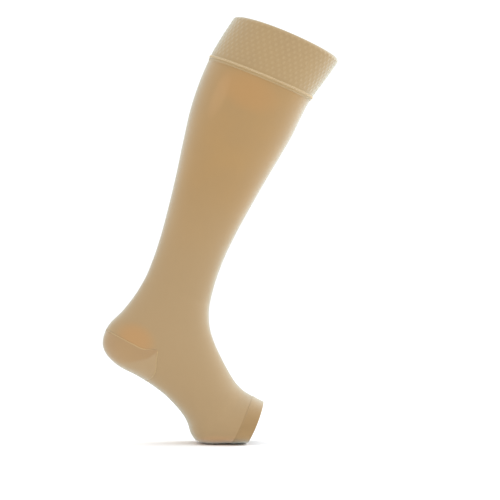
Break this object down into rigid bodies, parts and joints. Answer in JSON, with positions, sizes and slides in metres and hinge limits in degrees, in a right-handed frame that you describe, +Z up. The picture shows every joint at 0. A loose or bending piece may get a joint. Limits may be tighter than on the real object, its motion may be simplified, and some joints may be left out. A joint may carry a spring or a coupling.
{
  "type": "knee-high compression stocking",
  "caption": "Knee-high compression stocking with an open toe, a patterned top band and a knitted-in heel, filled out as when worn.",
  "frame": {"origin": "middle of the top band, where the wearer's leg holds the stocking below the knee", "axes": "+Z up, +X towards the toes, Y across the leg; the stocking is alike on both sides of the plane y = 0"},
  "size_m": [0.2745, 0.1162, 0.4976],
  "materials": {
    "band_knit": "patterned elastic knit with small raised diamonds, matt",
    "seam_thread": "cover-stitched seam in beige thread",
    "leg_knit": "fine smooth elastic knit in beige, slightly see-through where stretched",
    "heel_knit": "denser plain knit of the heel, matt",
    "hem_knit": "doubled knit hem, matt"
  },
  "bodies": {
    "root": {"top_band": "band_knit", "band_seam": "seam_thread", "leg": "leg_knit", "heel_pocket": "heel_knit", "foot": "leg_knit", "toe_band": "hem_knit"}
  },
  "joints": []
}
